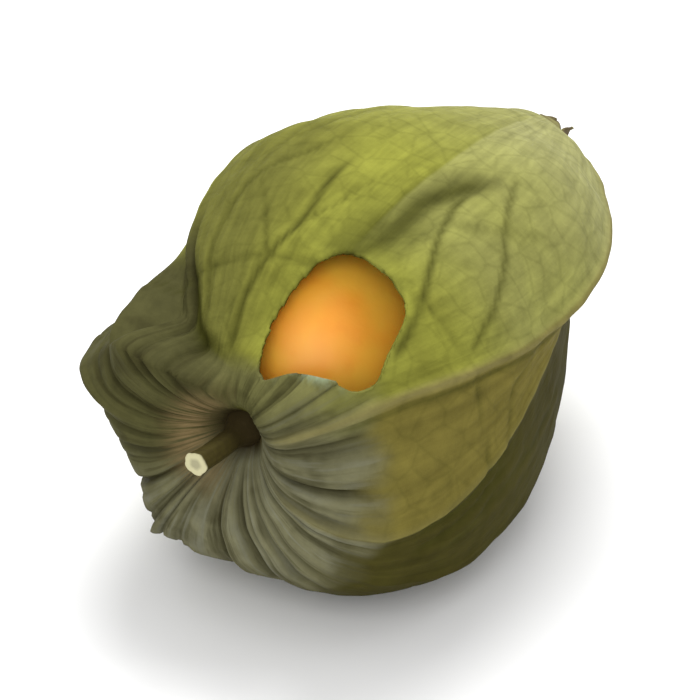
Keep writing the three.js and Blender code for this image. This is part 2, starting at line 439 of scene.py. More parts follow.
@dataclass(frozen=True)
class DryLeaf:
    """The husk's dried points: olive at the foot and brown at the ends."""

    olive: Colour = (0.2, 0.185, 0.06)
    brown: Colour = (0.1, 0.075, 0.035)

    def build(self) -> bpy.types.Material:
        """Makes the material."""
        s = NodeSheet("dry_leaf")
        at = s.place()
        fine = s.grain(at, 0.6, 3.0)
        colour = s.mix(s.grain(at, 1.8, 2.0).step(0.4, 0.6), self.olive, self.brown)
        colour = s.mix(fine.step(0.45, 0.7) * 0.5, colour, self.brown)
        inputs = {"Base Color": colour, "Roughness": 0.75, "Normal": s.bump(fine, 0.1)}
        inputs["Specular IOR Level"] = 0.1
        return s.finish(s.node("ShaderNodeBsdfPrincipled", {}, inputs))


@dataclass(frozen=True)
class BerrySkin:
    """Waxy orange skin with a soft gloss."""

    ripe: Colour = (0.95, 0.36, 0.028)
    gold: Colour = (0.97, 0.5, 0.05)
    deep: Colour = (0.86, 0.27, 0.02)
    roughness: float = 0.42

    def build(self) -> bpy.types.Material:
        """Makes the material."""
        s = NodeSheet("berry_skin")
        at = s.place()
        patch, fine = s.grain(at, 7.0, 2.0), s.grain(at, 0.7, 2.0)
        colour = s.mix(patch.step(0.35, 0.65), self.ripe, self.gold)
        colour = s.mix(s.grain(at, 2.2, 3.0).step(0.5, 0.8) * 0.35, colour, self.deep)
        colour = s.mix(s.grain(at, 11.0, 1.0).step(0.55, 0.75), colour, self.deep)
        relief = s.bump(fine, 0.02)
        inputs = {
            "Base Color": colour,
            "Roughness": self.roughness,
            "Normal": relief,
            "Subsurface Weight": 0.25,
            "Subsurface Scale": 0.002,
            "Subsurface Radius": (1.0, 0.4, 0.12),
            "Specular IOR Level": 0.3,
            "Coat Weight": 0.05,
            "Coat Roughness": 0.25,
        }
        return s.finish(s.node("ShaderNodeBsdfPrincipled", {}, inputs))


@dataclass(frozen=True)
class StalkSkin:
    """Matt grey-green skin, darker brown towards the husk, partly painted shade where it goes into
    the pit, and pale at the cut.
    """

    green: Colour = (0.05, 0.04, 0.01)
    brown: Colour = (0.032, 0.023, 0.008)
    cut: Colour = (0.5, 0.47, 0.28)
    pith: Colour = (0.33, 0.31, 0.19)

    def build(self) -> bpy.types.Material:
        """Makes the material."""
        s = NodeSheet("stalk_skin")
        at = s.place()
        cut, pith, base = s.layer("cut"), s.layer("pith"), s.layer("base")
        fine = s.grain(at, 0.5, 3.0)
        # darker brown towards the husk, partly painted shade
        colour = s.mix(base, self.green, self.brown)
        colour = s.mix(fine.step(0.4, 0.7) * 0.4, colour, self.brown)
        colour = s.mix(cut, colour, s.mix(pith, self.cut, self.pith))
        relief = s.bump(fine, 0.06)
        inputs = {"Base Color": colour, "Roughness": 0.75, "Normal": relief}
        inputs["Specular IOR Level"] = 0.06
        return s.finish(s.node("ShaderNodeBsdfPrincipled", {}, inputs))


# ---- the husk ------------------------------------------------------------------------


@dataclass(frozen=True)
class Rib:
    """A line along the husk where two panels meet.

    turn is its angle at the husk's turn stations, reach its height against the outline at
    the reach stations, and puff and swell say how round the panel after it is and how far
    it stands out, at the base and on the body. columns is that panel's width in faces,
    cord is how far the rib itself stands out, and pale is how light it is.
    """

    turn: tuple[float, ...]
    reach: tuple[float, ...]
    puff: tuple[float, float]
    swell: tuple[float, float]
    columns: int
    cord: float
    pale: float = 0.0


Outline = tuple[tuple[float, float], ...]

LENGTH = 44.0

BELLY: Outline = (
    (1.4, 0), (0.9, 1.3), (-0.7, 2.6), (-2.3, 4.8), (-2.9, 7.6), (-2, 10.8), (0.4, 13.4),
    (4.6, 15.2), (10, 16), (16, 15.9), (23, 14.8), (30, 12), (36.5, 7.9), (39.5, 5.2),
    (41.3, 3), (42.6, 1.4), (43.6, 0.8), (44.3, 0),
)  # fmt: skip
SHOULDER: Outline = (
    (1.4, 0), (0.9, 1.3), (-0.3, 2.8), (-0.4, 4.6), (0.5, 6.2), (2.6, 8), (5.4, 10.4),
    (8.4, 12.8), (12.5, 14.3), (17.5, 14.7), (23.5, 14), (30, 11.7), (36.5, 7.9), (39.5, 5.2),
    (41.3, 3), (42.6, 1.4), (43.6, 0.8), (44.3, 0),
)  # fmt: skip
RIBS: tuple[Rib, ...] = (
    Rib((28, 15, 15), (0.9, 0.97, 0.99, 1, 1.06, 1.08), (0.4, 0.8), (0, 0.05), 36, 0.4, 1),
    Rib((72, 71, 69), (1, 1.0, 0.88, 0.86, 0.85, 0.84), (0.7, 0.85), (0, 0.012), 52, -0.1),
    Rib((146, 141, 140), (0.95, 0.91, 0.94, 0.99, 0.91, 0.75), (-0.2, -0.2), (0, 0), 16, 0.1),
    Rib((162, 164, 165), (0.88, 0.78, 0.72, 0.92, 0.94, 0.88), (0.2, 0.6), (0, 0), 18, 0.1),
    Rib((177, 187, 189), (0.97, 0.98, 0.95, 0.95, 0.95, 0.95), (-0.5, 0.1), (0, 0), 44, 0.2),
    Rib((236, 236, 236), (0.98, 0.99, 0.99, 0.98, 0.98, 0.98), (0, 0.5), (0, 0), 34, 0.2),
    Rib((277, 276, 274), (0.86, 0.94, 1.0, 1.0, 0.98, 0.98), (0.8, 0.5), (0.02, 0), 34, 0.2),
    Rib((320, 321, 318), (1.02, 1.08, 1.1, 1.08, 0.99, 0.89), (0.4, 0.4), (0, 0), 26, 0.15),
    Rib((338, 364, 364), (0.98, 0.98, 0.97, 0.91, 0.82, 0.8), (0.3, 0.3), (0, 0), 28, 0.2, 0.4),
)

WING_PANEL, LOBE_PANEL, UMBER_PANEL = 0, 1, 8
DARK_PANELS = (3, 4, 5, 6, 7)


@dataclass(frozen=True)
class Vein:
    """A fine line that wanders along a panel: its angles at rising y values. Most are veins; some
    are painted shade in a crease or a painted shadow under a fold.
    """

    y: tuple[float, ...]
    angle: tuple[float, ...]
    height: float = -0.12
    width: float = 0.3
    dark: float = 0.8


# the left lobe's fold over the dome; its dark line is a painted shadow under the fold
FOLD = Vein((-0.2, 0.9, 2.7, 4.7, 6.4, 9), (92, 113, 131, 136, 137, 138), -0.35, 0.5, 0.95)
VEIN_AND_SHADE_LINES: tuple[Vein, ...] = (
    Vein((0.5, 2.3, 4.3, 7.1, 9.3, 11.3, 15, 18.3), (102, 103, 103, 98, 94, 94, 95, 94)),
    Vein((3.5, 5.9, 8.9, 12.1, 14.5, 17.1, 21), (126, 128, 127, 124, 118, 109, 102), dark=0.5),
    Vein((2.8, 5.1, 9.1, 12.1, 14.6, 18.2, 23.5), (37, 41, 48, 53, 56, 58, 58)),
    Vein((8.2, 9.6, 12.6, 15.9, 18.4, 23, 26), (26, 28, 32, 38, 44, 50, 52), dark=0.6),
    Vein((13.2, 15, 16.3, 18, 20, 22), (60, 55.5, 49, 43, 37.5, 30), -0.04, 0.5, 0.35),
    Vein((9.5, 12, 15, 19), (94, 88, 84, 80), width=0.2, dark=0.4),
    Vein((6.5, 9, 11, 13.5), (99, 106, 111, 118), width=0.2, dark=0.5),
    Vein((4.5, 8, 12, 17), (355, 4, 9, 13), width=0.25, dark=0.4),
    # painted shade in the crease valley above the tear
    Vein((7.5, 8.8, 10.6, 12.9, 15.8, 18.9, 24), (73, 70, 67, 66, 66, 62, 54), -0.35, 1.2, 0.9),
    Vein((8.0, 10.5, 13, 16.5), (71, 69, 66, 64), -0.1, 2.4, 0.75),
    Vein((2.5, 5, 8, 13), (338, 341, 346, 353), -0.25, 0.4, 0.55),
    Vein((2.5, 5, 8, 13), (331, 335, 341, 349), -0.25, 0.4, 0.5),
    Vein((5, 12, 20, 30, 38), (330, 340, 343, 343, 342), dark=0.5),
    Vein((4, 9, 14, 20, 28), (176, 174, 176, 178, 178), dark=0.4),
    Vein((4, 12, 20, 30, 38), (212, 210, 213, 214, 213), dark=0.45),
    Vein((8, 13, 18, 24), (211, 206, 200, 192), width=0.25, dark=0.35),
    Vein((12, 17, 23, 29), (211, 218, 225, 234), width=0.25, dark=0.35),
    Vein((4, 12, 20, 30, 38), (255, 257, 254, 255, 256), dark=0.45),
    Vein((9, 14, 19, 25), (256, 250, 245, 238), width=0.25, dark=0.35),
    Vein((7, 12, 17, 23), (257, 263, 268, 273), width=0.25, dark=0.35),
    Vein((4, 12, 20, 30, 38), (299, 297, 298, 296, 297), dark=0.45),
    Vein((10, 15, 21, 27), (297, 303, 309, 317), width=0.25, dark=0.35),
    Vein((18, 23, 28, 33), (118, 113, 110, 104), width=0.25, dark=0.35),
    FOLD,
)


class Husk:
    """The papery husk: one thin sheet drawn round the fruit, torn open by the stalk."""

    turn_at = (0.0, 18.0, 36.0)
    reach_at = (-2.0, 5.0, 11.0, 19.0, 28.0, 37.0)
    shoulder_middle = 90.0
    shoulder_full = 8.0
    shoulder_end = 51.0
    fold_radius = (4.0, 5.0, 5.9, 7.4, 8.6, 9.8)
    fold_angle = (92.0, 98.0, 110.0, 128.0, 138.0, 146.0)
    fold_width = 10.0
    rows = 160
    wall = 0.25
    floor = -15.2
    tip_lift = 2.2
    pleats = 20
    pleat_depth = 0.85
    cord_width = 0.4
    pale_width = 0.3
    seam_rib = 5

    tear_azimuth = 31.0
    tear_elevation = 33.0
    tear = (
        (1.6, 3.85), (2.0, 6.9), (3.7, 9.8), (5.6, 11.9), (7.6, 12.6), (9.7, 11.7),
        (11.4, 9.7), (11.7, 8.3), (10.6, 5.7), (9.4, 3.2), (8.0, 2.9), (6.2, 3.8), (3.9, 4.2),
    )  # fmt: skip

    def __init__(self, axis: FruitAxis) -> None:
        """Keeps the fruit's axis."""
        self.axis = axis
        self.edges = np.concatenate([[0], np.cumsum([r.columns for r in RIBS])])

    # -- the smooth form

    def outline(self, points: Outline, travel: np.ndarray) -> tuple[np.ndarray, np.ndarray]:
        """A point on an outline.

        Args:
            points: The outline as (y, radius) pairs.
            travel: Place along it, from 0 at the pit to 1 at the tip.

        Returns:
            The y and the radius.
        """
        pts = np.array(points, float)
        steps = np.sqrt(np.linalg.norm(np.diff(pts, axis=0), axis=1))
        stations = np.concatenate([[0], np.cumsum(steps)]) / steps.sum()
        return follow(stations, pts[:, 0], travel), follow(stations, pts[:, 1], travel)

    def shoulder_share(self, angle: np.ndarray, radius: np.ndarray) -> np.ndarray:
        """How much of the steeper shoulder outline the husk has.

        Args:
            angle: Angle round the axis.
            radius: The shoulder's own radius there.

        Returns:
            1 on the shoulder and 0 on the belly.
        """
        off = (angle - self.shoulder_middle + 180) % 360 - 180
        fold = follow(self.fold_radius, self.fold_angle, radius) - self.shoulder_middle
        left = 1 - smooth(off, fold, fold + self.fold_width)
        right = 1 - smooth(-off, self.shoulder_full, self.shoulder_end)
        return np.where(off > 0, left, right)

    def form(self, column: np.ndarray, travel: np.ndarray) -> dict[str, np.ndarray]:
        """The husk's smooth surface.

        Args:
            column: Place round the husk, counted in faces from the first rib.
            travel: Place along it, from 0 at the pit to 1 at the tip.

        Returns:
            Arrays named point, angle, y, radius, panel, share, width and shoulder.
        """
        column = column % self.edges[-1]
        panel = np.clip(np.searchsorted(self.edges, column, side="right") - 1, 0, len(RIBS) - 1)
        wide = np.array([r.columns for r in RIBS])[panel]
        share = (column - self.edges[panel]) / wide
        share = share - 0.25 * np.sin(2 * np.pi * share) / (2 * np.pi)
        nxt = (panel + 1) % len(RIBS)
        by, br = self.outline(BELLY, travel)
        sy, sr = self.outline(SHOULDER, travel)
        y, r = by, br
        pick = np.arange(len(column))
        for _ in range(4):
            turns = np.array([follow(self.turn_at, rib.turn, y) for rib in RIBS])
            start = turns[panel, pick]
            span = (turns[nxt, pick] - start) % 360
            angle = start + share * span
            weight = self.shoulder_share(angle, sr)
            y = by + (sy - by) * weight
            r = br + (sr - br) * weight
        reaches = np.array([follow(self.reach_at, rib.reach, y) for rib in RIBS])
        a, b = reaches[panel, pick], reaches[nxt, pick]
        whole, part = np.radians(span), np.radians(span * share)
        flat = a * b * np.sin(whole) / (a * np.sin(part) + b * np.sin(whole - part))
        arc = a + (b - a) * smooth(share, 0, 1)
        body = smooth(y, 2, 14)
        puff = np.array([rib.puff for rib in RIBS])[panel]
        swell = np.array([rib.swell for rib in RIBS])[panel]
        puffed = puff[:, 0] + (puff[:, 1] - puff[:, 0]) * body
        swelled = (swell[:, 0] + (swell[:, 1] - swell[:, 0]) * body) * 4 * share * (1 - share)
        swelled = swelled * (1 - smooth(y, 26, 38))
        reach = flat + puffed * (arc - flat) + swelled
        reach = 1 + (reach - 1) * smooth(r, 0.5, 7)
        radius = r * reach
        lift = self.tip_lift * np.maximum(y / LENGTH, 0) ** 3
        turn = np.radians(angle)
        point = np.stack([radius * np.cos(turn), y, radius * np.sin(turn) + lift], 1)
        span_mm = np.radians(span) * radius
        return {
            "point": point, "angle": angle % 360, "y": y, "radius": radius, "panel": panel,
            "share": share, "width": span_mm, "shoulder": weight,
        }  # fmt: skip

    # -- relief

    def pleat_wave(self, form: dict[str, np.ndarray]) -> np.ndarray:
        """Folds that fan out from the pit: 0 on their crests and 1 in their valleys."""
        angle = np.radians(form["angle"])
        drift = 0.5 * np.sin(3 * angle + 1.0) + 0.4 * np.sin(7 * angle + 2.1)
        drift = drift + 0.3 * np.sin(13 * angle + 0.4)
        depth = 0.75 + 0.25 * np.sin(5 * angle + 1.7)
        wide = depth * np.exp(-np.abs(np.sin(self.pleats * angle / 2 + drift)) / 0.3)
        narrow = np.exp(-np.abs(np.sin(self.pleats * angle + 2.3 * drift + 0.9)) / 0.25)
        return 1 - (1 - wide) * (1 - 0.45 * narrow)

    def dome_share(self, form: dict[str, np.ndarray]) -> np.ndarray:
        """How much of the pleated dome the husk has at each point."""
        off = np.abs((form["angle"] - 350 + 180) % 360 - 180)
        open_side = 1 - smooth(off, 35, 75)
        fold_side = 1 - smooth(np.abs(form["angle"] - 158), 25, 50)
        low = 4.0 - 4.3 * open_side + 3.5 * fold_side
        high = 10.0 - 8.7 * open_side + 3.5 * fold_side
        along = 1 - smooth((form["y"] - low) / (high - low), 0, 1)
        wobble = 0.8 * ripple(form["point"], 2.2, 9.0) + 0.8 * self.pleat_wave(form)
        near = 1 - smooth(form["radius"] + wobble, 10.2, 13.6) * open_side
        line = follow(FOLD.y, FOLD.angle, form["y"])
        past = smooth(form["angle"] - line, -1, 3) * (form["angle"] < 240)
        folded = smooth(form["shoulder"], 0.25, 0.8) * smooth(form["y"], -0.3, 1.2)
        return along * near * (1 - folded * (1 - past))

    def vein_and_shade_lines(self, form: dict[str, np.ndarray]) -> tuple[np.ndarray, np.ndarray]:
        """The fine veins' height and darkness at each point, with the painted shade of the crease
        and fold lines.
        """
        height, dark = np.zeros_like(form["y"]), np.zeros_like(form["y"])
        for vein_and_shade in VEIN_AND_SHADE_LINES:
            line = follow(vein_and_shade.y, vein_and_shade.angle, form["y"])
            ahead = follow(vein_and_shade.y, vein_and_shade.angle, form["y"] + 0.5)
            aside = np.radians((form["angle"] - line + 180) % 360 - 180) * form["radius"]
            slope = np.radians(ahead - line) * form["radius"] / 0.5
            gap = np.abs(aside) / np.sqrt(1 + slope**2)
            run = smooth(form["y"], vein_and_shade.y[0] - 0.5, vein_and_shade.y[0] + 1)
            run = run * (1 - smooth(form["y"], vein_and_shade.y[-1] - 4, vein_and_shade.y[-1] + 0.5))
            run = run * smooth(form["radius"], 4.8, 7.0)
            mark = run * np.exp(-((gap / vein_and_shade.width) ** 2))
            height += vein_and_shade.height * mark
            dark = np.maximum(dark, vein_and_shade.dark * mark)
        return height, dark

    def relief(self, form: dict[str, np.ndarray], layers: dict[str, np.ndarray]) -> np.ndarray:
        """How far each point stands out from the smooth form.

        Args:
            form: The smooth surface.
            layers: The painted numbers.

        Returns:
            Heights in millimetres.
        """
        radius = form["radius"]
        deep = self.pleat_depth * smooth(radius, 1.5, 7.0) * layers["dome"] * layers["calm"]
        height = -deep * layers["valley"]
        height += 0.16 * ripple(form["point"], 5.0, 1.0) * smooth(radius, 2, 6)
        height += 0.07 * ripple(form["point"], 1.9, 5.0) * smooth(radius, 2, 6)
        cords = np.array([rib.cord for rib in RIBS])
        height += self.along_ribs(form, cords, self.cord_width) * smooth(radius, 3, 6)
        return height + self.vein_and_shade_lines(form)[0]

    @staticmethod
    def along_ribs(form: dict[str, np.ndarray], values: np.ndarray, width: float) -> np.ndarray:
        """One value per rib, spread over a narrow band along it.

        Args:
            form: The smooth surface.
            values: The value on each rib.
            width: Half the band's width, in millimetres.

        Returns:
            The values at each point.
        """
        near, far = form["share"] * form["width"], (1 - form["share"]) * form["width"]
        here, there = values[form["panel"]], values[(form["panel"] + 1) % len(RIBS)]
        return here * np.exp(-((near / width) ** 2)) + there * np.exp(-((far / width) ** 2))

    def layers(self, form: dict[str, np.ndarray]) -> dict[str, np.ndarray]:
        """The numbers that the finish reads, each from 0 to 1."""
        radius, y, angle = form["radius"], form["y"], form["angle"]
        dome = self.dome_share(form)
        valley = self.pleat_wave(form)
        pales = np.array([rib.pale for rib in RIBS])
        rib = self.along_ribs(form, pales, self.pale_width)
        panel = form["panel"]
        # painted shade, partly the underside's own darker tone: the lower panels, darker towards
        # +X and fading near the tip
        below = np.isin(panel, DARK_PANELS) * (1 - 0.8 * smooth(y, 26, 40))
        far = (1 - form["share"]) * form["width"]
        # painted shadow: a dark line just below the rib at the umber panel's far edge
        shadow_under_rib = np.exp(-(((far - 0.75) / 0.3) ** 2)) * smooth(radius, 9, 12)
        turn = np.radians(angle)
        ring = np.exp(-(((radius - 3.1) / 1.2) ** 2)) * (y < 10)
        bend = 4 * form["shoulder"] * (1 - form["shoulder"]) * smooth(radius, 5, 8)
        calm = 1 - 0.7 * bend * (angle > 100)
        corner = smooth(angle, 66, 78) * (angle < 112) * smooth(y, -0.9, 0.2)
        calm = calm * (1 - 0.9 * corner)
        return {
            "dome": dome,
            "valley": valley,
            # the dome's pleat valleys, for the painted shade
            "pleat_shade": np.minimum(1.1 * valley, 1) * dome * smooth(radius, 1.0, 4.0) * calm,
            "calm": calm,
            # the dome's pleat crests, where the painted highlight goes
            "crest": smooth(1 - valley, 0.85, 0.98) * smooth(radius, 3, 6) * (angle > 170),
            "rib": rib * smooth(radius, 4, 8) * 0.8,
            "lobe": (panel == LOBE_PANEL) * smooth(angle, 84, 118) * (1 - smooth(y, 14, 30)),
            "umber": (panel == UMBER_PANEL) * (1 - 0.7 * smooth(y, 24, 36)),
            "dark": below * (0.5 + 0.45 * smooth(np.cos(turn), -0.1, 0.4)),
            "pale": smooth(y, 18, 40) * 0.8 + 0.4 * (panel == WING_PANEL) * smooth(y, 6, 16),
            "ash": smooth(np.cos(turn - math.radians(305)), -0.6, 0.7),
            "rust": np.maximum(ring * smooth(-np.cos(turn), -0.2, 0.8), smooth(y, 42.2, 44) * 0.8),
            # the pit, dark brown partly from painted shade in the recess
            "pit": (1 - smooth(radius, 1.1, 2.3)) * (y < 10),
            # veins, with painted shade along the crease and painted shadows under the fold and the
            # rib
            "vein_and_shade": np.maximum(self.vein_and_shade_lines(form)[1], 0.6 * (panel == UMBER_PANEL) * shadow_under_rib),
        }

    # -- the tear

    def tear_axes(self) -> np.ndarray:
        """The tear's across, up and out directions, one row each."""
        a, e = math.radians(self.tear_azimuth), math.radians(self.tear_elevation)
        across = np.array([math.cos(a), math.sin(a), 0])
        out = np.array([math.sin(a) * math.cos(e), -math.cos(a) * math.cos(e), math.sin(e)])
        return np.stack([across, np.cross(out, across), out])

    def tear_outline(self) -> np.ndarray:
        """The tear's edge as many points in its own plane."""
        pts = np.array(self.tear, float)
        pts = np.concatenate([pts, pts[:1]])
        steps = np.concatenate([[0], np.cumsum(np.linalg.norm(np.diff(pts, axis=0), axis=1))])
        wrap_x = np.concatenate([steps[-3:-1] - steps[-1], steps, steps[1:3] + steps[-1]])
        wrap_p = np.concatenate([pts[-3:-1], pts, pts[1:3]])
        at = np.linspace(0, steps[-1], 240, endpoint=False)
        return np.stack([follow(wrap_x, wrap_p[:, k], at) for k in (0, 1)], 1)

    def tear_distance(self, points: np.ndarray) -> tuple[np.ndarray, np.ndarray]:
        """Distance of points from the tear's edge, negative inside it.

        Args:
            points: Places in millimetres, one row each.

        Returns:
            The distances, and the nearest edge point of each, in the tear's plane.
        """
        axes = self.tear_axes()
        flat = points @ axes[:2].T
        edge = self.tear_outline()
        nxt = np.roll(edge, -1, 0)
        nearest = np.zeros_like(flat)
        distance = np.empty(len(flat))
        for start in range(0, len(flat), 4000):
            p = flat[start : start + 4000]
            seg = nxt - edge
            t = np.einsum("nkd,kd->nk", p[:, None] - edge, seg) / (seg * seg).sum(1)
            foot = edge + np.clip(t, 0, 1)[..., None] * seg
            gap = np.linalg.norm(p[:, None] - foot, axis=2)
            best = gap.argmin(1)
            row = np.arange(len(p))
            nearest[start : start + 4000] = foot[row, best]
            cross = (p[:, None, 1] < edge[None, :, 1]) != (p[:, None, 1] < nxt[None, :, 1])
            lean = edge[:, 0] + (p[:, None, 1] - edge[:, 1]) * seg[:, 0] / (seg[:, 1] + 1e-12)
            inside = (cross & (p[:, None, 0] < lean)).sum(1) % 2 == 1
            distance[start : start + 4000] = np.where(inside, -1, 1) * gap[row, best]
        side = (points @ axes[2] > 0) & (points[:, 1] < 14)
        return np.where(side, distance, 99.0), nearest

    def cut_tear(self, bm: bmesh.types.BMesh) -> None:
        """Opens the tear: its inner faces go, and its edge points move onto its outline."""
        points = read_points(bm)
        distance, nearest = self.tear_distance(points)
        across = self.tear_axes()[:2]
        inside = distance < 0
        row_of = {vert: row for row, vert in enumerate(bm.verts)}
        edge_rows: set[int] = set()
        for edge in bm.edges:
            a, b = (row_of[v] for v in edge.verts)
            if inside[a] != inside[b]:
                edge_rows.add(a if inside[a] else b)
        gone = []
        for face in bm.faces:
            rows = [row_of[v] for v in face.verts]
            core = any(inside[row] and row not in edge_rows for row in rows)
            if core or all(row in edge_rows for row in rows):
                gone.append(face)
        bmesh.ops.delete(bm, geom=gone, context="FACES")
        for edge in bm.edges:
            if edge.is_boundary:
                edge_rows.update(row_of[v] for v in edge.verts)
        for vert in bm.verts:
            row = row_of[vert]
            if row in edge_rows:
                shift = nearest[row] - points[row] @ across.T
                vert.co = points[row] + shift @ across

    def curl_lips(
        self, bm: bmesh.types.BMesh, points: np.ndarray
    ) -> tuple[np.ndarray, dict[str, np.ndarray]]:
        """Bends the sheet along the tear: in on the left and out along the foot.

        Args:
            bm: The mesh that the points belong to.
            points: Its points.

        Returns:
            The bent points, and the numbers painted along the tear, among them a painted highlight
            on the edge of its foot and painted light round the foot.
        """
        distance, nearest = self.tear_distance(points)
        middle = np.mean(np.array(self.tear, float), axis=0)
        turn = np.degrees(np.arctan2(nearest[:, 1] - middle[1], nearest[:, 0] - middle[0]))
        near = np.exp(-((np.abs(distance) / 1.6) ** 2))
        left = np.clip(np.cos(np.radians(turn - 165)), 0, 1)
        foot = np.clip(np.cos(np.radians(turn + 95)), 0, 1)
        strip = np.exp(-(((turn - 40) / 28) ** 2))
        write_points(bm, points)
        push = (0.35 * foot - 0.7 * left - 0.25 * strip) * near
        # a narrow band along the tear's edge, for the painted highlight
        lip = 1 - smooth(np.abs(distance), 0.0, 0.7)
        bent = points + self.outward_normals(bm, points) * push[:, None]
        edges = {
            "lip": lip * np.exp(-(((turn + 112) / 20) ** 2)),
            "strip": strip * (1 - smooth(np.abs(distance), 0.5, 1.6)),
            # painted light round the tear's foot
            "foot_light": foot * (1 - smooth(np.abs(distance), 1.0, 4.5)),
        }
        return bent, edges

    # -- the piece

    def build(self, finish: HuskPaper) -> bpy.types.Object:
        """Makes the husk."""
        columns = int(self.edges[-1])
        bm = bmesh.new()
        uv = bm.loops.layers.uv.new("UVMap")
        bmesh.ops.create_grid(bm, x_segments=columns, y_segments=self.rows, size=1)
        grid = read_points(bm)
        column = (grid[:, 0] + 1) / 2 * columns + self.edges[self.seam_rib]
        travel = (grid[:, 1] + 1) / 2
        for face in bm.faces:
            for loop in face.loops:
                spot = loop.vert.co
                loop[uv].uv = ((spot.x + 1) / 2, (spot.y + 1) / 2)
        form = self.form(column, travel)
        layers = self.layers(form)
        first, last = grid[:, 0] < -0.9999, grid[:, 0] > 0.9999
        write_points(bm, form["point"])
        height = self.relief(form, layers)[:, None]
        points = form["point"] + self.outward_normals(bm, form["point"]) * height
        points[last] = points[first]
        points, edges = self.curl_lips(bm, points)
        layers.update(edges)
        points[:, 2] = np.maximum(points[:, 2], self.floor)
        points[last] = points[first]
        write_points(bm, points)
        for name, values in layers.items():
            paint(bm, name, values)
        bmesh.ops.remove_doubles(bm, verts=bm.verts, dist=0.004)
        bmesh.ops.dissolve_degenerate(bm, edges=bm.edges, dist=0.0005)
        bmesh.ops.recalc_face_normals(bm, faces=bm.faces)
        self.cut_tear(bm)
        piece = make_piece(bm, "husk_sheet", finish.build(), self.axis)
        thick = piece.modifiers.new("wall", "SOLIDIFY")
        thick.thickness = self.wall * MM
        thick.offset = -1
        return piece

    @staticmethod
    def outward_normals(bm: bmesh.types.BMesh, points: np.ndarray) -> np.ndarray:
        """The sheet's normals, all pointing out of the husk, one row each."""
        normals = read_normals(bm)
        middle = points - np.array([0.0, 20.0, 0.0])
        return normals if (normals * middle).sum() > 0 else -normals


@dataclass(frozen=True)
class DryTips:
    """The husk's own dry points, which curl apart where it closes.

    lobes are (angle, length, lean outwards, half width) in turn round the axis.
    """

    axis: FruitAxis
    lobes: tuple[tuple[float, float, float, float], ...] = (
        (60, 2.6, 0.3, 1.3),
        (140, 1.7, 1.0, 1.2),
        (215, 2.0, 0.8, 1.1),
        (285, 2.2, 0.7, 1.2),
        (350, 2.9, 1.5, 1.2),
    )
    start: float = 41.9
    start_radius: float = 2.2

    def build(self, finish: DryLeaf) -> bpy.types.Object:
        """Makes the five points as one piece."""
        bm = bmesh.new()
        for lobe in self.lobes:
            self._lobe(bm, *lobe)
        bmesh.ops.remove_doubles(bm, verts=bm.verts, dist=0.004)
        bmesh.ops.recalc_face_normals(bm, faces=bm.faces)
        piece = make_piece(bm, "husk_tips", finish.build(), self.axis)
        thick = piece.modifiers.new("wall", "SOLIDIFY")
        thick.thickness = 0.16 * MM
        thick.offset = 0
        return piece

    def _lobe(
        self, bm: bmesh.types.BMesh, angle: float, length: float, lean: float, half: float
    ) -> None:
        """Adds one point: a narrow blade that follows the husk and then leans away."""
        made = bmesh.ops.create_grid(bm, x_segments=8, y_segments=14, size=1)
        turn = math.radians(angle)
        for vert in made["verts"]:
            u, v = vert.co.x, (vert.co.y + 1) / 2
            wide = half * (1 - v**1.6) ** 0.8 * (0.75 + 0.5 * v * (1 - v)) + 0.03
            out = self.start_radius - 2.3 * v + lean * v * v - 0.25 * u * u * (1 - v)
            out += 0.08 * math.sin(9 * v + 3 * u + angle)
            y = self.start + length * v - 0.1 * lean * v
            side = u * wide
            lift = Husk.tip_lift * (y / LENGTH) ** 3
            x = out * math.cos(turn) - side * math.sin(turn)
            z = out * math.sin(turn) + side * math.cos(turn) + lift
            vert.co = (x, y, z)


# ---- berry and stalk -----------------------------------------------------------------


@dataclass(frozen=True)
class Berry:
    """The berry: a round fruit with a shallow dimple where the stalk meets it."""

    axis: FruitAxis
    radius: float = 9.4
    y: float = 11.6
    dimple: float = 0.7
    dimple_radius: float = 3.2

    def build(self, finish: BerrySkin) -> bpy.types.Object:
        """Makes the berry."""
        bm = bmesh.new()
        bmesh.ops.create_uvsphere(bm, u_segments=96, v_segments=64, radius=self.radius)
        points = read_points(bm)[:, [0, 2, 1]] * np.array([1, -1, 1])
        aside = np.hypot(points[:, 0], points[:, 2])
        sunk = (points[:, 1] < 0) * (1 - smooth(aside, 0, self.dimple_radius))
        points[:, 1] += self.dimple * sunk
        lumps = 1 + 0.004 * ripple(points, 6.0, 3.0)
        points *= lumps[:, None]
        points[:, 1] += self.y
        write_points(bm, points)
        bmesh.ops.recalc_face_normals(bm, faces=bm.faces)
        return make_piece(bm, "berry_flesh", finish.build(), self.axis)


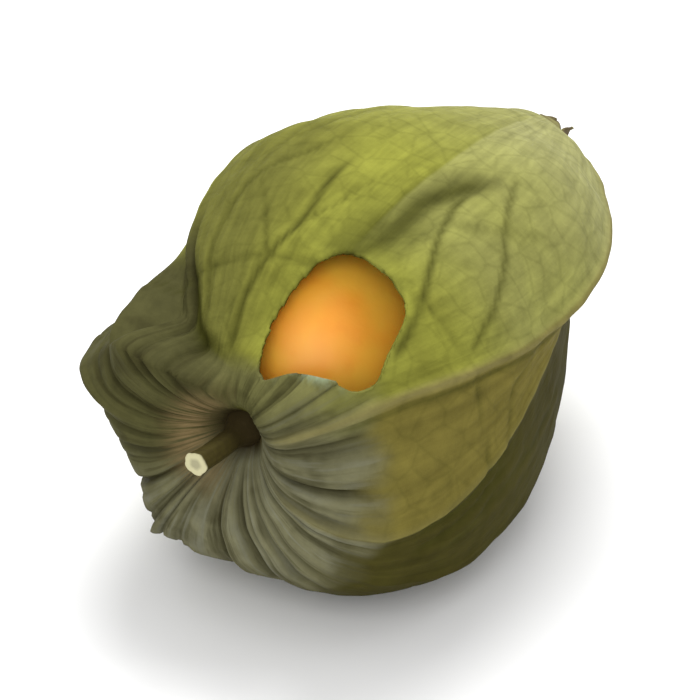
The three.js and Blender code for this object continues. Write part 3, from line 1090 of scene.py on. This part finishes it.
@dataclass(frozen=True)
class Stalk:
    """The cut stalk, which flares where it joins the husk in the pit."""

    axis: FruitAxis
    radius: float = 0.8
    flare: float = 1.6
    start: float = 2.4
    end: float = -5.5
    rise: float = 0.6
    rings: int = 40
    sides: int = 40

    def build(self, finish: StalkSkin) -> bpy.types.Object:
        """Makes the stalk."""
        bm = bmesh.new()
        bmesh.ops.create_cone(
            bm, cap_ends=True, segments=self.sides, radius1=1, radius2=1, depth=1
        )
        sides = [e for e in bm.edges if abs(e.verts[0].co.z - e.verts[1].co.z) > 0.5]
        bmesh.ops.subdivide_edges(bm, edges=sides, cuts=self.rings, use_grid_fill=True)
        caps = [f for f in bm.faces if len(f.verts) > 4]
        for share in (0.12, 0.25, 0.3):
            bmesh.ops.inset_region(bm, faces=caps, thickness=share, use_even_offset=True)
        points = read_points(bm)
        along = points[:, 2] + 0.5
        y = self.start + (self.end - self.start) * along
        turn = np.arctan2(points[:, 1], points[:, 0])
        inner = np.hypot(points[:, 0], points[:, 1])
        ribs = 1 + 0.05 * np.cos(5 * turn + 0.4) + 0.02 * np.cos(11 * turn)
        wide = self.radius + (self.flare - self.radius) * smooth(y, -0.9, 1.6)
        wide = wide * (1 + 0.08 * smooth(-y, 4.2, 5.4))
        r = inner * wide * ribs
        lift = self.rise * np.maximum(-y / -self.end, 0) ** 2
        placed = np.stack([r * np.cos(turn), y, r * np.sin(turn) + lift], 1)
        write_points(bm, placed)
        end = along > 0.999
        paint(bm, "cut", end * 1.0)
        paint(bm, "pith", end * (inner < 0.5) * 1.0)
        # darker brown towards the husk, partly painted shade where it goes into the pit
        paint(bm, "base", smooth(y, -3.0, 0.2))
        bmesh.ops.recalc_face_normals(bm, faces=bm.faces)
        return make_piece(bm, "stalk_stem", finish.build(), self.axis)


# ---- stage ---------------------------------------------------------------------------


@dataclass(frozen=True)
class Studio:
    """Pale floor, soft light and the camera."""

    axis: FruitAxis
    azimuth: float = 31.0
    elevation: float = 33.0
    distance: float = 500.0
    window: float = 50.0
    aim: tuple[float, float] = (7.8, 5.8)

    def build(self) -> None:
        """Makes the floor, lights and camera."""
        self._floor()
        self._light("key", (-90, 190, 420), 260, 2.1)
        self._light("fill", (150, -420, 330), 300, 1.05)
        self._world()
        self._camera()

    def _floor(self) -> None:
        """A wide pale floor."""
        bm = bmesh.new()
        bmesh.ops.create_grid(bm, x_segments=1, y_segments=1, size=3.0)
        mesh = bpy.data.meshes.new("floor")
        bm.to_mesh(mesh)
        bm.free()
        floor = bpy.data.objects.new("floor", mesh)
        bpy.context.scene.collection.objects.link(floor)
        s = NodeSheet("floor_paint")
        inputs = {"Base Color": (0.86, 0.86, 0.86), "Roughness": 0.9}
        mesh.materials.append(s.finish(s.node("ShaderNodeBsdfPrincipled", {}, inputs)))

    def _light(
        self, name: str, spot: tuple[float, float, float], size: float, power: float
    ) -> None:
        """A square soft light that looks at the fruit's middle."""
        lamp = bpy.data.lights.new(name, "AREA")
        lamp.energy, lamp.size = power, size * MM
        thing = bpy.data.objects.new(name, lamp)
        bpy.context.scene.collection.objects.link(thing)
        middle = self.axis.origin + Vector((0, 20, 0)) * MM
        thing.location = middle + Vector(spot) * MM
        thing.rotation_euler = (middle - thing.location).to_track_quat("-Z", "Y").to_euler()

    def _world(self) -> None:
        """An even white sky."""
        world = bpy.data.worlds.new("sky")
        world.use_nodes = True
        world.node_tree.nodes["Background"].inputs[0].default_value = (1, 1, 1, 1)
        world.node_tree.nodes["Background"].inputs[1].default_value = 0.85
        bpy.context.scene.world = world

    def _camera(self) -> None:
        """The camera, turned to the side that shows the stalk and the tear."""
        a, e = math.radians(self.azimuth), math.radians(self.elevation)
        right = Vector((math.cos(a), math.sin(a), 0))
        back = Vector((math.sin(a) * math.cos(e), -math.cos(a) * math.cos(e), math.sin(e)))
        up = back.cross(right)
        target = right * self.aim[0] + up * self.aim[1]
        depth = (Vector((0, 20, 0)) - target).dot(back)
        lens = bpy.data.cameras.new("camera")
        lens.lens = 36 * self.distance / self.window
        lens.clip_end = 20
        camera = bpy.data.objects.new("camera", lens)
        bpy.context.scene.collection.objects.link(camera)
        camera.location = self.axis.origin + (target + back * (self.distance + depth)) * MM
        camera.rotation_euler = back.to_track_quat("Z", "Y").to_euler()
        bpy.context.scene.camera = camera
        bpy.context.scene.view_settings.view_transform = "Standard"


# ---- assembly ------------------------------------------------------------------------


def main() -> None:
    """Builds the fruit, dresses it, and sets the stage."""
    logging.basicConfig(level=logging.INFO)
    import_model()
    axis = FruitAxis.from_frame(Berry.radius, Berry.y)
    Studio(axis).build()
    husk = Husk(axis).build(HuskPaper())
    tips = DryTips(axis).build(DryLeaf())
    berry = Berry(axis).build(BerrySkin())
    stalk = Stalk(axis).build(StalkSkin())
    for piece, node in ((husk, "husk"), (tips, "husk"), (berry, "berry"), (stalk, "stalk")):
        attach(piece, BODY)
        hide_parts(node)
        LOG.info("%s stands for %s", piece.name, node)


if __name__ == "__main__":
    main()
